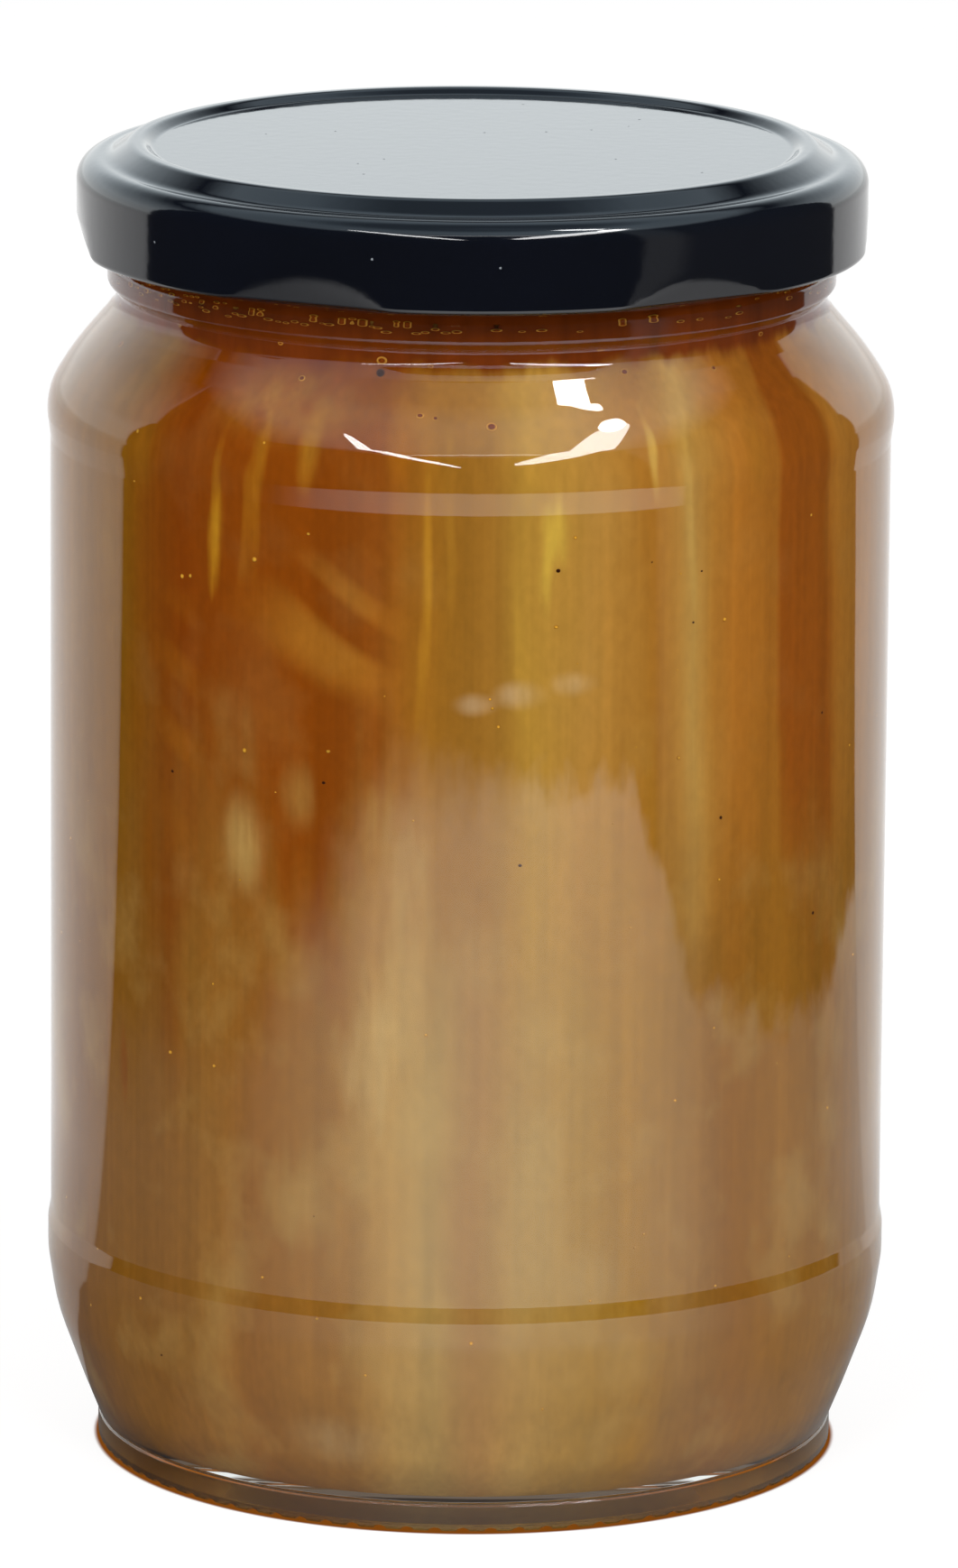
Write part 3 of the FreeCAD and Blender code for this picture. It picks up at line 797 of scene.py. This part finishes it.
def makeBubbles():
    s = spotSize
    bubbles = []
    direction = -178.0
    while direction < 178:
        # they stand closer together to the left of the front and at the back
        crowded = -68 < direction < -4 or direction > 120
        low, high = s["ringRadius"]
        radius = seed.uniform(low, high * (0.85 if crowded else 1.0))
        bubbles.append((direction, seed.uniform(*s["ringHeight"]), radius))
        if seed.random() < (0.9 if crowded else 0.4):
            place = direction + seed.uniform(-1, 1)
            bubbles.append((place, s["ringHeight"][1] + seed.uniform(0.9, 1.7), radius * 0.6))
        direction += radius * 2.7 + seed.uniform(0.0, 0.6 if crowded else 7.0)
    bubbles += scattered(s["strays"], s["strayHeight"], s["strayRadius"])
    # thin-walled air, with painted shade in the middle and a painted golden ring of light near its rim
    paintedRingLight = [(0.0, "#7c380e"), (0.5, "#6a2c08"), (0.7, "#b07626"), (0.86, "#c08c36"), (1.0, "#74380c")]
    air = spotMaterial("airBubble", paintedRingLight, 0.25)
    makeSpots("neckBubbles", bubbles + s["placedBubbles"], s["bubbleFlat"], air, 6, 16)

    # air too small to show a ring: a painted golden glint
    dots = []
    for number in range(s["dots"]):
        height = seed.uniform(*s["dotHeight"])
        dots.append((seed.uniform(-180, 180), height, seed.uniform(*s["dotRadius"])))
    paintedGlint = [(0.0, "#d8a038"), (0.6, "#c08a2a"), (1.0, "#8c5212")]
    tinyAir = spotMaterial("tinyAirBubble", paintedGlint, 0.3)
    makeSpots("goldenDots", dots + s["placedDots"], s["dotFlat"], tinyAir, 3, 10)

    # crumbs of wax and pollen: dull and dark brown
    specks = scattered(s["specks"], s["speckHeight"], s["speckRadius"])
    dark = [(0.0, "#2c1406"), (0.7, "#3c1c08"), (1.0, "#5c3010")]
    crumbs = spotMaterial("beeswaxAndPollen", dark, 0.3)
    makeSpots("waxSpecks", s["placedSpecks"] + specks, s["speckFlat"], crumbs, 3, 8)
    print("bubbles done")


lidSize = dict(
    radius=42.23,            # of the skirt
    sheet=0.28,              # thickness of the tinplate
    ledgeRadius=38.8,
    crestRadius=36.5,
    middleRadius=34.15,
    ridgeRise=1.60,          # crest above the ledge
    panelDrop=0.70,          # middle panel below the crest
    cornerRound=2.4,
    curlWidth=1.30,          # the rolled foot of the skirt
    curlHeight=1.25,
    curlRound=0.62,
    lugs=6,
    lugWidth=19.8,
    lugRise=3.2,
    lugTurn=-25.0,           # degrees from the front to a lug
    softness=0.18,           # mm, how softly the pressed dents blend in
    blendReach=1.2,          # mm outside the dent's flat where that blend ends
    segments=432,
)


def lidMaterial():
    # tinplate under black stoving lacquer: very dark, slightly blue, with a deep wet gloss
    material, tree = newMaterial("blackLacquer")
    place = addNode(tree, "ShaderNodeTexCoord").outputs["Object"]
    cloudy = addNode(tree, "ShaderNodeTexNoise", {"Vector": place, "Scale": 60.0, "Detail": 3.0})
    tint = addNode(tree, "ShaderNodeMix", {
        0: cloudy.outputs["Fac"], 6: linear("#06080e"), 7: linear("#090c16")}, data_type="RGBA")
    # orange peel of the lacquer, about 1.5 mm
    peel = addNode(tree, "ShaderNodeTexNoise", {"Vector": place, "Scale": 650.0, "Detail": 1.0})
    bump = addNode(tree, "ShaderNodeBump", {
        "Height": peel.outputs["Fac"], "Strength": 0.008, "Distance": 0.001})
    lacquer = addNode(tree, "ShaderNodeBsdfPrincipled", {
        "Base Color": tint.outputs[2], "Roughness": 0.07, "IOR": 1.53, "Normal": bump.outputs["Normal"]})
    addNode(tree, "ShaderNodeOutputMaterial", {"Surface": lacquer.outputs[0]})
    return material


def makeLid():
    s = lidSize
    radius = s["radius"]
    ledge = lidTop - s["ridgeRise"]
    curl = radius - s["curlWidth"]
    outside = [
        (0, lidTop - s["panelDrop"], 0),
        (s["middleRadius"], lidTop - s["panelDrop"], 0.9),
        (s["middleRadius"] + 1.0, lidTop, 1.3),
        (s["crestRadius"], lidTop, 1.4),
        (s["ledgeRadius"], ledge, 2.0),
        (radius, ledge, s["cornerRound"]),
        (radius, lidFoot + s["lugRise"] + 0.5, 0),
        (radius, lidFoot + s["lugRise"] * 0.5, 0),
        (radius, lidFoot, s["curlRound"]),
        (curl, lidFoot, s["curlRound"]),
        (curl, lidFoot + s["curlHeight"], 0),
        (curl + s["sheet"], lidFoot + s["curlHeight"], 0),
        (curl + s["sheet"], lidFoot + s["sheet"], 0),
        (radius - s["sheet"], lidFoot + s["sheet"], 0),
        (radius - s["sheet"], ledge - s["sheet"], s["cornerRound"] - s["sheet"]),
        (s["ledgeRadius"] - 0.09, ledge - s["sheet"], 2.28),
        (s["crestRadius"] - 0.09, lidTop - s["sheet"], 1.12),
        (s["middleRadius"] + 1.09, lidTop - s["sheet"], 1.02),
        (s["middleRadius"] + 0.09, lidTop - s["panelDrop"] - s["sheet"], 1.18),
        (0, lidTop - s["panelDrop"] - s["sheet"], 0),
    ]
    outline = roundedOutline(outside)
    depth = radius - math.sqrt(radius ** 2 - (s["lugWidth"] / 2) ** 2)
    pitch = math.tau / s["lugs"]

    def dent(r, z, angle):
        # the skirt pressed in over each lug, as a sloping flat with soft edges
        below = lidFoot + s["lugRise"] - z
        off = (angle - math.radians(s["lugTurn"]) + pitch / 2) % pitch - pitch / 2
        if below < -1 or r < radius - 2 or abs(off) > pitch / 2.5:
            return r, z
        flat = (radius - depth * below / s["lugRise"]) / math.cos(off)
        over = radius - flat
        pressed = (over + math.sqrt(over * over + s["softness"] ** 2)) / 2
        rest = (math.sqrt(s["blendReach"] ** 2 + s["softness"] ** 2) - s["blendReach"]) / 2
        return r - max(pressed - rest, 0), z

    lid = lathe("twistOffLid", outline, s["segments"], dent)
    lid.data.materials.append(lidMaterial())
    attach(lid, "root")
    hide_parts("lid")
    print("lid done")


dustSize = dict(
    flecks=26,
    corners=7,
    radius=(0.07, 0.18),     # mm
    thick=0.03,
)


def makeDust():
    # specks of dust on the lid, half of them on its skirt and half on its middle
    s = dustSize
    vertices, faces = [], []
    for number in range(s["flecks"]):
        angle = seed.uniform(-math.pi, math.pi)
        outward = Vector((math.sin(angle), -math.cos(angle), 0))
        side = Vector((math.cos(angle), math.sin(angle), 0))
        if number % 2:
            centre = outward * lidSize["radius"] + Vector((0, 0, seed.uniform(lidFoot + 4, lidTop - 5)))
            upward, normal = Vector((0, 0, 1)), outward
        else:
            centre = outward * seed.uniform(5, 32) + Vector((0, 0, lidTop - lidSize["panelDrop"]))
            upward, normal = outward, Vector((0, 0, 1))
        first = len(vertices)
        vertices.append(centre + normal * s["thick"])
        for corner in range(s["corners"]):
            turn = math.tau * corner / s["corners"]
            reach = seed.uniform(*s["radius"])
            away = (side * math.cos(turn) + upward * math.sin(turn)) * reach
            vertices.append(centre + away + normal * s["thick"] * 0.4)
        for corner in range(s["corners"]):
            after = (corner + 1) % s["corners"]
            faces.append((first, first + 1 + corner, first + 1 + after))
    dust = makeMesh("lidDust", vertices, faces, smooth=False)
    # household dust: dull, pale grey and uneven, which makes the gloss beside it look deep
    material, tree = newMaterial("paleDust")
    place = addNode(tree, "ShaderNodeTexCoord").outputs["Object"]
    uneven = addNode(tree, "ShaderNodeTexNoise", {"Vector": place, "Scale": 900.0})
    tint = addNode(tree, "ShaderNodeMix", {
        0: uneven.outputs["Fac"], 6: linear("#4c5258"), 7: linear("#a4abb0")}, data_type="RGBA")
    skin = addNode(tree, "ShaderNodeBsdfPrincipled", {"Base Color": tint.outputs[2], "Roughness": 0.9})
    addNode(tree, "ShaderNodeOutputMaterial", {"Surface": skin.outputs[0]})
    dust.data.materials.append(material)
    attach(dust, "root")
    print("dust done")


makeStage()
makeJar()
makeHoney()
makeBubbles()
makeLid()
makeDust()
